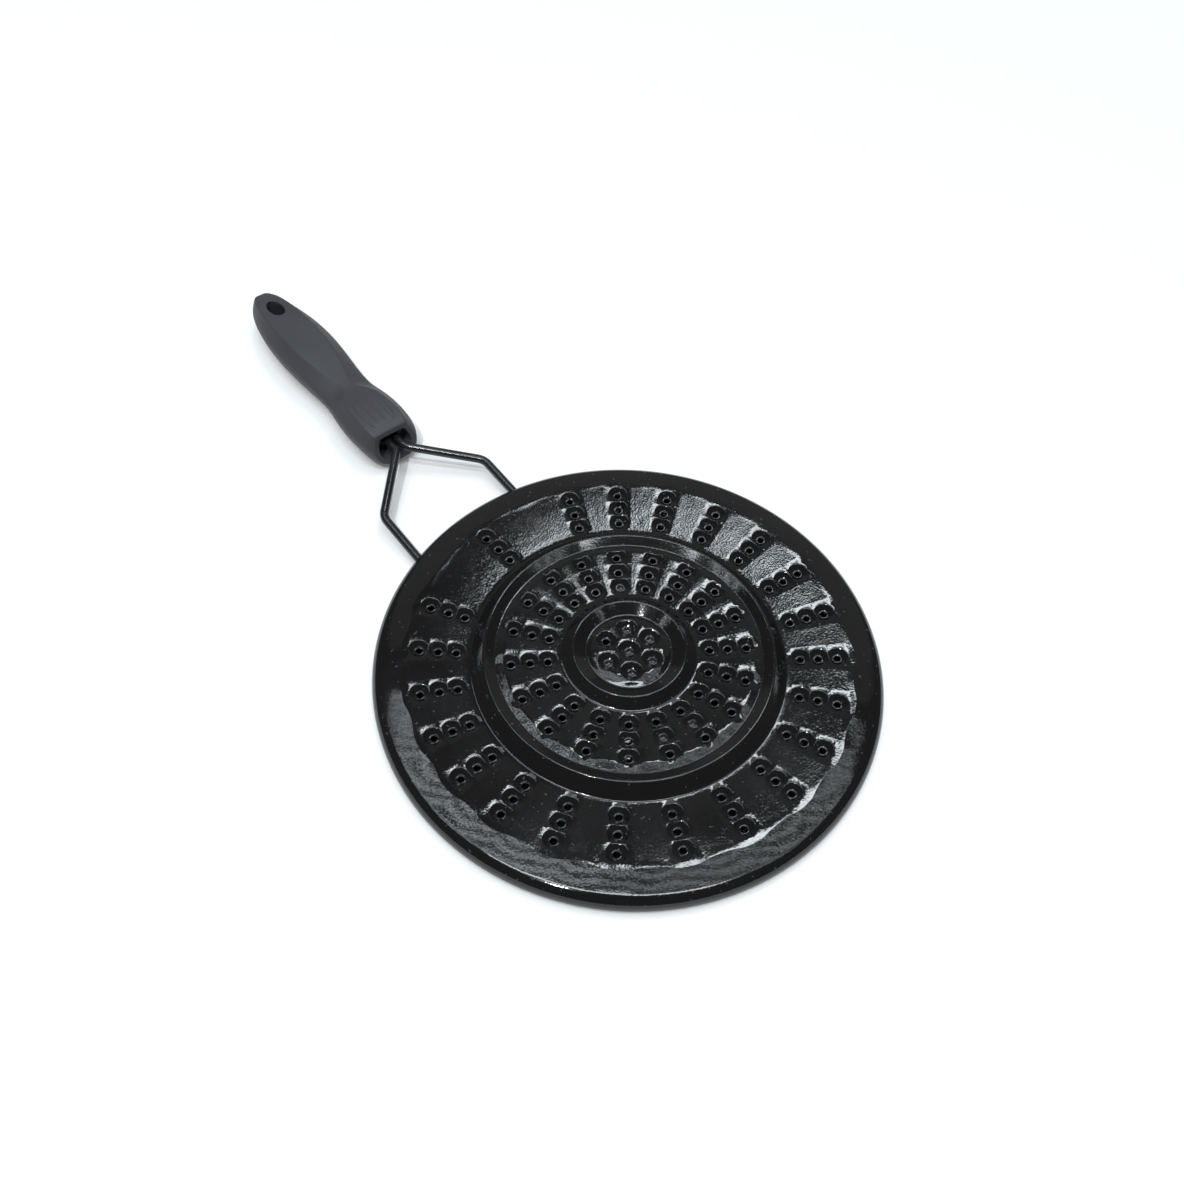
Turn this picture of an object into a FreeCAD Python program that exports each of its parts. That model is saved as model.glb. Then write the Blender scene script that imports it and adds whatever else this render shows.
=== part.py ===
import FreeCAD, Part
import math
import os
from FreeCAD import Placement, Rotation, Vector

# Heat diffuser plate for a gas hob: a pressed and pierced top skin, a pierced
# base skin held in its rolled rim, a bent wire fork and a moulded handle.
# Millimetres. Z is up, and the rim stands on Z = 0 at the middle of the plate.
# X runs out towards the handle.

# Top skin: enamelled sheet with a rolled rim and a flat hem turned in beneath
sheet = 1.2
rim_radius = 104.0
roll_radius = 5.3
hem_width = 5.0
land_width = 13.2
land_slope = 9.8
roll_facets = 3
under_facets = 2
hidden_facets = 1

# Pressed relief from the middle out: the run from each ring to the next. The
# band of the outer rows fills what is left inside the rim's land.
floor_radius = 14.9
small_valley_run = 2.7
small_bead_run = 5.2
small_foot_run = 4.2
inner_band_width = 24.6
big_valley_run = 2.8
big_bead_run = 4.2
big_foot_run = 5.0
outer_step_run = 1.8
bead_crest_width = 1.4

# Rise of each ring over the band of the outer rows
floor_rise = 3.65
small_valley_rise = 2.6
small_bead_rise = 5.1
inner_band_rise = 2.6
big_valley_rise = 1.8
big_bead_rise = 4.3
outer_ridge_rise = 1.7

# Pierced dimples, in radial rows and a ring round the middle one
dimple_sides = 8
hole_radius = 1.5
dimple_radius = 3.6
centre_dimple_radius = 4.2
centre_edge_gap = 4.6
centre_hole_count = 6
centre_hole_phase = 18.0
row_pitch = 7.35
inner_row_start = 6.0
inner_row_count = 19
inner_row_phase = -1.5
outer_row_start = 4.1
outer_slot_count = 24
slots_over_wire = (1, 23)

# Base skin: flat sheet that lies on the hem, with its holes under the big bead
base_sheet = 0.9
base_clearance = 0.3
base_hole_radius = 5.0
base_hole_count = 6
base_hole_phase = 8.0

# Wire fork, in its own frame: X from the pivot on the rim, Y to the left. Its
# legs lie between the two skins.
wire_radius = 2.0
wire_rest_gap = 0.15
wire_roof_gap = 0.3
fork_inset = 4.0
fork_skew = -5.5
leg_spread = 27.7
cross_run_x = -18.7
cross_bend_radius = 5.0
lift_x = -6.0
lift_bend_radius = 20.0
shoulder_x = 23.5
shoulder_rise = 3.55
shoulder_bend_radius = 8.0
neck_x = 50.5
neck_rise = 7.05
neck_bend_radius = 5.0
tang_gap = 0.6
tang_length = 40.0
slot_clearance = 0.3

# Moulded handle, on the tangs of the fork: X from its front face, Z from the
# middle of the tangs
handle_skew = -0.9
front_gap = 4.0
handle_length = 130.5
handle_bottom = -8.7
shoulder_drop = 6.0
belly_side_inset = 1.5
belly_side_rise = 3.4
belly_inset = 6.5
mouth_side_gap = 2.3
mouth_roof_gap = 1.9
mouth_floor_gap = 2.7
mouth_depth = 6.0
mouth_round = 1.5
tang_clearance = 0.1
hang_hole_length = 13.0
hang_hole_width = 7.6
hang_hole_from_tip = 20.5

# Handle sections from front to butt: share of its length, half width at the
# widest line, half width of the top panel, height of the top panel
handle_sections = (
    (0.00, 10.6, 7.6, 6.9),
    (0.13, 13.0, 8.4, 8.3),
    (0.35, 11.2, 4.4, 5.7),
    (0.60, 13.2, 7.8, 8.5),
    (0.80, 11.2, 7.2, 7.9),
    (0.94, 7.0, 4.6, 5.7),
    (1.00, 3.2, 2.2, 3.9),
)

small_valley_radius = floor_radius + small_valley_run
small_bead_radius = small_valley_radius + small_bead_run
inner_foot_radius = small_bead_radius + small_foot_run
inner_ridge_radius = inner_foot_radius + inner_band_width
big_valley_radius = inner_ridge_radius + big_valley_run
big_bead_radius = big_valley_radius + big_bead_run
outer_foot_radius = big_bead_radius + big_foot_run
outer_ridge_radius = rim_radius - land_width
outer_edge_radius = outer_ridge_radius - outer_step_run

leg_height = sheet + base_sheet + wire_rest_gap + wire_radius
outer_band_height = leg_height + wire_radius + wire_roof_gap + sheet
ridge_height = outer_band_height + outer_ridge_rise
inner_band_height = outer_band_height + inner_band_rise
floor_height = outer_band_height + floor_rise

land_turn = 90 - land_slope
rim_corner_height = ridge_height - land_width * math.tan(math.radians(land_slope))
under_radius = rim_corner_height - roll_radius * math.tan(math.radians(land_turn / 2))
hem_radius = rim_radius - under_radius - hem_width
base_radius = rim_radius - under_radius - base_clearance

fork_pivot_x = rim_radius - fork_inset
shoulder_height = leg_height + shoulder_rise
neck_height = leg_height + neck_rise
tang_spread = wire_radius + tang_gap / 2


def along_section(radius, height):
    """Point of a turned section."""
    return Vector(radius, 0, height)


def round_points(middle_radius, middle_height, radius, first, last, facets):
    """Points round a bend of a section, from just past its first angle to its last."""
    points = []
    for step in range(1, facets + 1):
        angle = math.radians(first + (last - first) * step / facets)
        across = radius * math.cos(angle)
        up = radius * math.sin(angle)
        points.append(along_section(middle_radius + across, middle_height + up))
    return points


def bead_points(bead_radius, height, offset):
    """Two corners of a bead's narrow crest, or the one beneath it inside the sheet."""
    if offset > 0:
        return [along_section(bead_radius, height - offset)]
    half_width = bead_crest_width / 2
    return [along_section(bead_radius - half_width, height), along_section(bead_radius + half_width, height)]


def skin_path(offset, roll_count, under_count):
    """Section of the top skin from the axis to the hem, moved in by the offset from its outer face."""
    relief = outer_band_height - offset
    points = [
        along_section(0, relief + floor_rise),
        along_section(floor_radius, relief + floor_rise),
        along_section(small_valley_radius, relief + small_valley_rise),
    ]
    points += bead_points(small_bead_radius, outer_band_height + small_bead_rise, offset)
    points += [
        along_section(inner_foot_radius - offset / 2, relief + inner_band_rise),
        along_section(inner_ridge_radius, relief + inner_band_rise),
        along_section(big_valley_radius, relief + big_valley_rise),
    ]
    points += bead_points(big_bead_radius, outer_band_height + big_bead_rise, offset)
    points += [
        along_section(outer_foot_radius - offset / 2, relief),
        along_section(outer_edge_radius, relief),
        along_section(outer_ridge_radius, relief + outer_ridge_rise),
    ]
    roll_middle = rim_radius - roll_radius
    under_middle = rim_radius - under_radius
    points += round_points(roll_middle, under_radius, roll_radius - offset, 90, land_turn, 1)
    points += round_points(roll_middle, under_radius, roll_radius - offset, land_turn, 0, roll_count)
    points += round_points(under_middle, under_radius, under_radius - offset, 0, -90, under_count)
    points.append(along_section(hem_radius, offset))
    return points


def turned(points):
    """Solid turned about Z from the closed section through the points."""
    section = Part.Face(Part.makePolygon(points + points[:1]))
    return section.revolve(Vector(0, 0, 0), Vector(0, 0, 1), 360)


def faceted_cone(low_radius, high_radius, height, centre, degrees):
    """Solid with flat sides between two regular polygons, turned by an angle about its own axis."""
    rings = []
    for radius, level in ((low_radius, 0), (high_radius, height)):
        ring = []
        for side in range(dimple_sides + 1):
            angle = math.radians(degrees + side * 360 / dimple_sides)
            ring.append(centre + Vector(radius * math.cos(angle), radius * math.sin(angle), level))
        rings.append(ring)
    low, high = rings
    faces = [Part.Face(Part.makePolygon(ring)) for ring in rings]
    for side in range(dimple_sides):
        corners = [low[side], low[side + 1], high[side + 1], high[side], low[side]]
        faces.append(Part.Face(Part.makePolygon(corners)))
    return Part.makeSolid(Part.makeShell(faces))


def dimple_tool(radius, degrees, height, top_radius):
    """Tool that sinks one pierced dimple through the sheet whose face is at a height."""
    spread = (top_radius - hole_radius) / sheet
    overshoot = sheet / 4
    angle = math.radians(degrees)
    foot = Vector(radius * math.cos(angle), radius * math.sin(angle), height - sheet - overshoot)
    low_radius = hole_radius - spread * overshoot
    high_radius = top_radius + spread * overshoot
    return faceted_cone(low_radius, high_radius, sheet + 2 * overshoot, foot, degrees)


def row_radii(first, last):
    """Radii of the dimples in one radial row: a pitch apart from the first radius towards the last."""
    count = math.floor(abs(last - first) / row_pitch) + 1
    step = math.copysign(row_pitch, last - first)
    return [first + index * step for index in range(count)]


def dimple_tools():
    """Every dimple of the plate: middle ring, inner rows and outer rows."""
    inner_radii = row_radii(inner_foot_radius + inner_row_start, inner_ridge_radius - dimple_radius)
    outer_radii = row_radii(outer_edge_radius - outer_row_start, outer_foot_radius + dimple_radius)
    centre_circle = floor_radius - centre_edge_gap
    tools = [dimple_tool(0, 0, floor_height, centre_dimple_radius)]
    for index in range(centre_hole_count):
        degrees = centre_hole_phase + index * 360 / centre_hole_count
        tools.append(dimple_tool(centre_circle, degrees, floor_height, centre_dimple_radius))
    for index in range(inner_row_count):
        degrees = inner_row_phase + index * 360 / inner_row_count
        tools += [dimple_tool(radius, degrees, inner_band_height, dimple_radius) for radius in inner_radii]
    for index in range(outer_slot_count):
        degrees = index * 360 / outer_slot_count
        if index not in slots_over_wire:
            tools += [dimple_tool(radius, degrees, outer_band_height, dimple_radius) for radius in outer_radii]
    return tools


def rounded_path(corners, radii):
    """Wire of straight runs through the corners, with a tangent arc of its radius at each inner one."""
    edges = []
    start = corners[0]
    for before, corner, after, radius in zip(corners, corners[1:], corners[2:], radii):
        back = (before - corner).normalize()
        ahead = (after - corner).normalize()
        half_angle = back.getAngle(ahead) / 2
        reach = radius / math.tan(half_angle)
        first = corner + back * reach
        last = corner + ahead * reach
        inward = (back + ahead).normalize()
        middle = corner + inward * (radius / math.sin(half_angle) - radius)
        edges.append(Part.LineSegment(start, first).toShape())
        edges.append(Part.Arc(first, middle, last).toShape())
        start = last
    edges.append(Part.LineSegment(start, corners[-1]).toShape())
    return Part.Wire(edges)


def fork_tube(radius):
    """Round bar of the given radius along the fork's whole path, skewed with the fork."""
    left = [
        Vector(cross_run_x, leg_spread, leg_height),
        Vector(lift_x, leg_spread, leg_height),
        Vector(shoulder_x, leg_spread, shoulder_height),
        Vector(neck_x, tang_spread, neck_height),
        Vector(neck_x + tang_length, tang_spread, neck_height),
    ]
    right = [Vector(point.x, -point.y, point.z) for point in left[::-1]]
    left_radii = [cross_bend_radius, lift_bend_radius, shoulder_bend_radius, neck_bend_radius]
    path = rounded_path(right + left, left_radii[::-1] + left_radii)
    ring = Part.Wire(Part.makeCircle(radius, right[0], Vector(-1, 0, 0)))
    tube = path.makePipeShell([ring], True, False)
    tube.Placement = Placement(Vector(fork_pivot_x, 0, 0), Rotation(Vector(0, 0, 1), fork_skew))
    return tube


def top_plate():
    """Pressed, pierced and enamelled top skin with its rolled and hemmed rim."""
    outer = skin_path(0, roll_facets, under_facets)
    inner = skin_path(sheet, hidden_facets, hidden_facets)
    skin = turned(outer + inner[::-1])
    slots = fork_tube(wire_radius + slot_clearance)
    return skin.cut(dimple_tools() + [slots])


def base_plate():
    """Flat skin that lies on the hem and closes the underside, pierced where no dimple shows its holes."""
    skin = Part.makeCylinder(base_radius, base_sheet, Vector(0, 0, sheet))
    tools = []
    for index in range(base_hole_count):
        angle = math.radians(base_hole_phase + index * 360 / base_hole_count)
        foot = Vector(big_bead_radius * math.cos(angle), big_bead_radius * math.sin(angle), sheet)
        tools.append(Part.makeCylinder(base_hole_radius, base_sheet, foot))
    return skin.cut(tools)


def handle_section(share, half_width, panel_half_width, top):
    """One closed section of the handle: top panel, side facets, side walls, belly and flat base."""
    slenderness = half_width / (half_width + belly_inset)
    half_section = [
        (panel_half_width, top),
        (half_width, top - shoulder_drop),
        (half_width - belly_side_inset * slenderness, handle_bottom + belly_side_rise),
        (half_width * slenderness, handle_bottom),
    ]
    x = share * handle_length
    left = [Vector(x, across, height) for across, height in half_section]
    right = [Vector(x, -across, height) for across, height in half_section[::-1]]
    return Part.makePolygon(left + right + left[:1])


def mouth_tool():
    """Block with rounded corners that hollows the handle's front round the wires."""
    half_width = tang_spread + wire_radius + mouth_side_gap
    bottom = -wire_radius - mouth_floor_gap
    top = wire_radius + mouth_roof_gap
    corner = Vector(-mouth_depth, -half_width, bottom)
    block = Part.makeBox(2 * mouth_depth, 2 * half_width, top - bottom, corner)
    lengthwise = [edge for edge in block.Edges if abs(edge.tangentAt(edge.FirstParameter).x) > 0.5]
    return block.makeFillet(mouth_round, lengthwise)


def hang_hole_tool():
    """Upright slot with round ends, taller than the handle."""
    half_run = (hang_hole_length - hang_hole_width) / 2
    middle = handle_length - hang_hole_from_tip
    height = 2 * handle_length
    start = Vector(middle - half_run, -hang_hole_width / 2, -height / 2)
    slot = Part.makeBox(2 * half_run, hang_hole_width, height, start)
    for end in (middle - half_run, middle + half_run):
        slot = slot.fuse(Part.makeCylinder(hang_hole_width / 2, height, Vector(end, 0, -height / 2)))
    return slot.removeSplitter()


def handle():
    """Moulded grip: lofted body, mouth round the wires, blind bores on the tangs and a hanging hole."""
    body = Part.makeLoft([handle_section(*row) for row in handle_sections], True, False)
    body = body.cut([mouth_tool(), hang_hole_tool()])
    front = Placement(Vector(front_gap, 0, 0), Rotation())
    neck = Placement(Vector(neck_x, 0, neck_height), Rotation(Vector(0, 0, 1), handle_skew))
    fork = Placement(Vector(fork_pivot_x, 0, 0), Rotation(Vector(0, 0, 1), fork_skew))
    body.Placement = fork.multiply(neck).multiply(front)
    return body.cut(fork_tube(wire_radius + tang_clearance))


def write(name, shape):
    """Save one piece as its own file."""
    solids = shape.Solids
    print(name, len(solids), shape.isValid(), round(shape.Volume, 1))
    solids[0].exportStep(os.path.join("parts", name + ".step"))


if __name__ == "__main__":
    os.makedirs("parts", exist_ok=True)
    write("top_plate", top_plate())
    write("base_plate", base_plate())
    write("wire_fork", fork_tube(wire_radius))
    write("handle", handle())
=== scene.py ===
import math
from bisect import bisect_right

import bmesh
import bpy
from mathutils import Euler, Matrix, Vector
from mathutils.bvhtree import BVHTree
from mathutils.kdtree import KDTree


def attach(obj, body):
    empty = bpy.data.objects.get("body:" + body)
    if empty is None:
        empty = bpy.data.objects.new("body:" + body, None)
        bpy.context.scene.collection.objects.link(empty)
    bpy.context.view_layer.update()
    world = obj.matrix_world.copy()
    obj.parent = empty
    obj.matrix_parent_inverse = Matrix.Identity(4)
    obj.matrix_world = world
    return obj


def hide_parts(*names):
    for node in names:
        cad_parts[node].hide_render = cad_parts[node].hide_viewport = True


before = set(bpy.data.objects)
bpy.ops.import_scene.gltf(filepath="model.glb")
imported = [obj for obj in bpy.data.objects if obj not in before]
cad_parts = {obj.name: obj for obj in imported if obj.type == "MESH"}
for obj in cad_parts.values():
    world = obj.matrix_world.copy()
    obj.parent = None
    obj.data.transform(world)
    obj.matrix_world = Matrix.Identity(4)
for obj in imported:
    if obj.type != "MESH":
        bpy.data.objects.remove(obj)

bl_info = {
    "name": "Hob Heat Diffuser Plate",
    "version": (1, 0, 0),
    "blender": (4, 5, 0),
    "location": "3D View > Sidebar > Diffuser",
    "description": "Enamelled heat diffuser plate with a bent wire fork, a moulded handle and a studio",
    "category": "Add Mesh",
}

MM = 0.001

# Corners of the plate's section from the middle out: radius, height and bend in millimetres.
# The last three turn the rim down and in to the hem.
SECTION = (
    (0.0, 11.3, 0.0),
    (14.3, 11.6, 1.0),
    (17.4, 10.2, 0.9),
    (22.8, 13.4, 0.9),
    (27.4, 9.7, 2.2),
    (51.0, 11.2, 1.0),
    (54.3, 10.1, 0.8),
    (58.6, 12.7, 0.9),
    (64.0, 7.0, 1.4),
    (90.8, 9.6, 0.4),
    (103.85, 7.35, 5.3),
    (103.85, 0.0, 2.8),
    (96.3, 0.0, 0.0),
)
SMALL_VALLEY = SECTION[2][0]
BIG_VALLEY = SECTION[6][0]
OUTER_RIDGE = SECTION[9][0]
LEAST_BEND = 0.1

# The flat skin is lifted to its section inside this radius, where its top side is over this height
RELIEF_LIMIT = 96.0
TOP_SIDE = 5.0

# Half the gap between two bands of faces, in which they are bridged at a valley
BRIDGE_HALF_GAP = 0.12

# Points this near to each other, in metres, are one
SAME_POINT = 0.01 * MM

# Radii of the pierced holes in each radial row, and where the cells round them begin and end
INNER_ROW = (33.0, 40.3, 48.0)
INNER_CELLS = (29.1, 36.7, 44.2, 51.0)
OUTER_ROW = (70.2, 77.4, 85.0)
OUTER_CELLS = (66.3, 73.8, 81.3, 89.4)
CENTRE_CIRCLE = 10.3
CENTRE_HEXAGON = 5.95
CENTRE_BORDER = 15.7

# Rows of holes: how many fit round the plate, the first one's angle, and how they stray from an
# even pitch: a mean, and waves of so many periods a turn, in degrees of reach and phase
INNER_COUNT = 19
INNER_PHASE = -132.4
INNER_DRIFT = (-1.6, ((1, 2.3, -168), (2, 0.6, -76), (3, 0.5, -25)))
OUTER_COUNT = 24
OUTER_PHASE = 1.0
OUTER_DRIFT = (-2.1, ((1, 2.7, -55), (2, 1.0, 17), (3, 0.75, -174)))
ROWS_OVER_WIRE = (1, 23)

# Half the angle of a row's wedge of cells, and the angle of a face in the plain sheet between
INNER_HALF_ANGLE = 8.4
INNER_GAP_STEP = 2.4
OUTER_HALF_ANGLE = 4.3
OUTER_GAP_STEP = 2.2

# Cuts in each side of a hole's cell, and its rings from outside in, as shares of the bowl's run
# and of the lip's. A ring keeps inside CELL_SHARE of its cell.
CELL_CUTS = 6
BOWL_RINGS = (1.0, 0.94, 0.88, 0.82, 0.6, 0.35, 0.05)
LIP_RINGS = (1.0, 0.8, 0.6, 0.4, 0.2, 0.0)
CELL_SHARE = 0.965

# Shares of a dimple's slope that are rounded at its foot and at its brow
DIMPLE_FOOT = 0.05
DIMPLE_BROW = 0.18

# Power that rounds the lip, and the share of its rise that it falls by at the hole
LIP_FULLNESS = 0.7
LIP_FALL = 0.7

# The faces this near to the outer ridge move: out at the rows, over a bell of this reach, and in
# between them by this share of the pull
RIDGE_BAND = 1.4
RIDGE_BELL = 3.0
RIDGE_DRAWN_IN = 0.3

# Holes bridged by enamel, as places on the plate in millimetres: all of the middle but one,
# and three in the rows
OPEN_CENTRE_DEGREES = 19.0
BRIDGED_HOLES = ((-41.1, 5.9), (-37.9, 18.5), (23.4, -20.3))
SAME_HOLE = 3.0

# A film's sides, its radius to the hole's, and its dome's rings: share of the radius and rise
FILM_SIDES = 24
FILM_OVERLAP = 1.06
FILM_DOME = ((0.66, 0.12), (0.3, 0.17))

# Corners of the wire on its left side, in the fork's own frame: along, across, height and bend
FORK_CORNERS = (
    (-18.7, 27.7, 4.25, 5.0),
    (-6.0, 27.7, 4.25, 20.0),
    (23.5, 27.7, 7.8, 8.0),
    (50.5, 2.3, 11.3, 5.0),
    (90.5, 2.3, 11.3, 0.0),
)
NECK = FORK_CORNERS[3][0]

# Degrees of a step in the wire's bends, and how finely its round is drawn
WIRE_TURN_STEP = 9
WIRE_RESOLUTION = 6

# The fork is turned by its skew about its pivot, which is this far along from the plate's middle
FORK_PIVOT = 100.0
FORK_SKEW = -5.5

# Handle, in its own frame: its front face on the fork, and its stations along it in millimetres:
# along, half width, half width of the top panel, top height, height of the widest line, bottom
HANDLE_FRONT = 54.5
HANDLE_SKEW = -0.9
HANDLE_STATIONS = (
    (0.0, 11.3, 8.2, 17.3, 10.6, 3.0),
    (2.5, 13.2, 9.2, 18.5, 11.2, 2.5),
    (9.0, 14.6, 9.7, 19.2, 12.0, 2.5),
    (18.0, 15.2, 9.6, 19.3, 12.6, 2.5),
    (28.0, 14.7, 8.8, 18.7, 12.6, 2.5),
    (35.0, 13.6, 6.6, 17.6, 12.4, 2.5),
    (40.5, 12.8, 1.8, 17.0, 12.2, 2.5),
    (48.0, 12.6, 3.4, 17.3, 12.2, 2.5),
    (57.0, 13.2, 5.8, 18.1, 12.4, 2.5),
    (68.0, 14.3, 7.8, 19.3, 12.8, 2.5),
    (80.0, 15.0, 8.9, 19.8, 13.2, 2.5),
    (93.0, 14.6, 8.7, 19.8, 13.2, 2.5),
    (103.0, 13.4, 8.2, 19.4, 12.8, 2.6),
    (110.0, 12.2, 7.6, 18.9, 12.4, 2.8),
    (117.0, 10.6, 6.7, 18.2, 11.8, 3.0),
    (123.0, 8.6, 5.4, 17.4, 11.2, 3.4),
    (126.8, 6.2, 3.8, 16.6, 10.8, 4.0),
    (128.8, 2.8, 1.8, 15.2, 10.4, 5.2),
)

# The front face leans forward by this slope over its level, which fades out along the handle
FRONT_LEAN = 0.42
LEAN_LEVEL = 9.0
LEAN_REACH = 12.0

# Section of the handle: rise of the panel's crown and of its shoulders at a share of its width,
# how far the wall tucks in and where it ends over the bottom, and the belly's share of the width
CROWN_RISE = 0.15
SHOULDER_SHARE = 0.7
SHOULDER_RISE = 0.12
WALL_TUCK = 0.9
WALL_FOOT = 3.2
BELLY_SHARE = 0.64

# Moulded edges, as places round the section and how sharp they are: the panel's edges and the
# widest lines. They fade out over the last stations.
SHARP_LINES = {2: 0.75, 3: 0.35, 9: 0.35, 10: 0.75}
FADING_STATIONS = 3
SMOOTH_LEVELS = 3
FRONT_SHARPNESS = 0.45
MOUTH_SHARPNESS = 0.6
MOUTH_FLOOR_SHARPNESS = 0.4
MOUTH_TAPER = 0.3
HOLE_SHARPNESS = 0.7

# Hanging hole: stations within this reach of it, the places round the section that it is cut
# from above and below, the cell that turns its corners to an oval, and its swelling, because the
# smoothed surface draws in
HOLE_REACH = 10.0
HOLE_COLUMNS = ((11, 0, 1), (5, 6, 7))
HOLE_CELL = (6.0, 4.0)
HOLE_RIM = 0.2
HOLE_SWELL = 1.06

# Thumb pad: faces along and across it, the power of its rounded corners, how far its border is
# sunk, and the shares of its half size for the rising border, the ribs and their ends
PAD_FACES = (40, 84)
PAD_CORNER = 4
PAD_SINK = 0.1
PAD_BORDER = 0.12
RIB_COUNT = 3
RIB_SPREAD = 0.8
RIB_END = 0.86
RIB_FADE = 0.08
OVER_HANDLE = 50.0

# Studio, in metres. The camera stands where the photograph's did and looks along AWAY_DEGREES.
# Stretches run along its line of sight and across it, to the left.
AWAY_DEGREES = -51.3
CAMERA_PLACE = (-0.141838, 0.177186, 0.362455)
CAMERA_TURN = (35.88673, -1.35006, -135.42541)
CAMERA_LENS = 31.4467
FLOOR_HALF_SIZE = 4.0
FLOOR_GLOW = 0.09
WORLD_LIGHT = 0.12

# Ceiling tubes, each in a right and a left part. Past FAR_ZONE they leave the middle dark.
CEILING = 8.0
CEILING_TINT = (0.88, 0.95, 1.0)
TUBE_COUNT = 9
TUBE_START = -1.1
TUBE_PITCH = 0.6
TUBE_WIDTH = 0.18
TUBE_END = 5.6
FAR_ZONE = 3.3
NEAR_SPLIT = (0.4, 0.4)
FAR_SPLIT = (0.05, 2.6)
RIGHT_TUBES = 5.0
LEFT_TUBES = 8.2

# The two brighter lights hang a little lower: height, stretches along and across, and radiance
STRIP_LIGHT = (7.9, (-1.9, -1.1), (-3.0, 3.0), 14.0)
WINDOW_LIGHT = (7.9, (4.0, 4.64), (-2.4, -0.04), 19.0)

# Lamps that face the plate: distance and direction, height, width and depth, and radiance
FAR_WALL = (12.0, AWAY_DEGREES, 8.0, (20.0, 12.0), 0.16)
FRONT_LAMP = (1.03, 104.6, 2.28, (0.08, 0.08), 900.0)


def length(name, description, millimetres):
    """Property for a length, given in millimetres and kept in metres."""
    return bpy.props.FloatProperty(
        name=name, description=description, default=millimetres * MM, precision=5, unit="LENGTH"
    )


def colour(name, description, red, green, blue):
    """Property for a linear colour."""
    return bpy.props.FloatVectorProperty(
        name=name, description=description, default=(red, green, blue),
        min=0, max=1, size=3, subtype="COLOR",
    )


def share(name, description, value):
    """Property for a number from nought to one."""
    return bpy.props.FloatProperty(name=name, description=description, default=value, min=0, max=1)


class DIFFUSER_PG_plate(bpy.types.PropertyGroup):
    """Sizes of the pressed and pierced plate."""

    sheet: length("Sheet", "Thickness of the enamelled sheet", 1.2)
    hole_radius: length("Hole radius", "Radius of a pierced hole", 1.4)
    lip_radius: length("Lip radius", "Radius of the rounded lip round a hole", 1.85)
    lip_rise: length("Lip rise", "How far the lip stands over the bottom of its dimple", 0.025)
    dimple_radius: length("Dimple radius", "Radius of a dimple in a row", 4.4)
    dimple_depth: length("Dimple depth", "Depth of a dimple in a row", 1.7)
    centre_radius: length("Middle dimple radius", "Radius of a dimple in the middle", 4.8)
    centre_depth: length("Middle dimple depth", "Depth of a dimple in the middle", 1.7)
    ridge_pull: length("Ridge pull", "How far a row pulls the outer ridge out", 1.5)


class DIFFUSER_PG_handle(bpy.types.PropertyGroup):
    """Sizes of the wire fork and the moulded handle."""

    wire_radius: length("Wire radius", "Radius of the fork's wire", 2.0)
    mouth_wall: length("Mouth wall", "Wall round the mouth that holds the wires", 2.3)
    mouth_depth: length("Mouth depth", "Depth of the mouth that holds the wires", 9.0)
    hole_along: length("Hanging hole place", "Middle of the hanging hole from the front face", 110.0)
    hole_length: length("Hanging hole length", "Length of the hanging hole", 15.0)
    hole_width: length("Hanging hole width", "Width of the hanging hole", 7.6)
    pad_start: length("Thumb pad start", "Front end of the thumb pad from the front face", 6.5)
    pad_length: length("Thumb pad length", "Length of the raised thumb pad", 22.0)
    pad_width: length("Thumb pad width", "Width of the raised thumb pad", 14.0)
    pad_rise: length("Thumb pad rise", "How far the thumb pad stands over the handle", 0.4)
    rib_rise: length("Rib rise", "How far the thumb pad's fine ribs stand over it", 0.16)


class DIFFUSER_PG_finish(bpy.types.PropertyGroup):
    """Colours and finishes."""

    enamel: colour("Enamel", "Colour of the black enamel", 0.0045, 0.0045, 0.0048)
    enamel_roughness: share("Enamel roughness", "Roughness of the enamel", 0.06)
    pits: colour("Pits", "Colour of the enamel's few pits", 0.05, 0.05, 0.05)
    wire: colour("Wire", "Colour of the coated wire", 0.009, 0.0095, 0.011)
    plastic: colour("Plastic", "Colour of the handle", 0.0425, 0.043, 0.049)
    floor: colour("Floor", "Colour of the floor", 0.965, 0.965, 0.965)


class Values:
    """A socket whose arithmetic adds Math nodes, so that shader maths reads as an expression."""

    def __init__(self, tree, socket):
        self.tree = tree
        self.socket = socket

    def math(self, operation, first, second):
        node = self.tree.nodes.new("ShaderNodeMath")
        node.operation = operation
        for place, value in enumerate((first, second)):
            if isinstance(value, Values):
                self.tree.links.new(value.socket, node.inputs[place])
            else:
                node.inputs[place].default_value = value
        return Values(self.tree, node.outputs[0])

    def __add__(self, other):
        return self.math("ADD", self, other)

    def __radd__(self, other):
        return self.math("ADD", other, self)

    def __mul__(self, other):
        return self.math("MULTIPLY", self, other)

    def __rmul__(self, other):
        return self.math("MULTIPLY", other, self)


def opaque(tint):
    """Colour with full alpha."""
    return (*tint[:3], 1)


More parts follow.
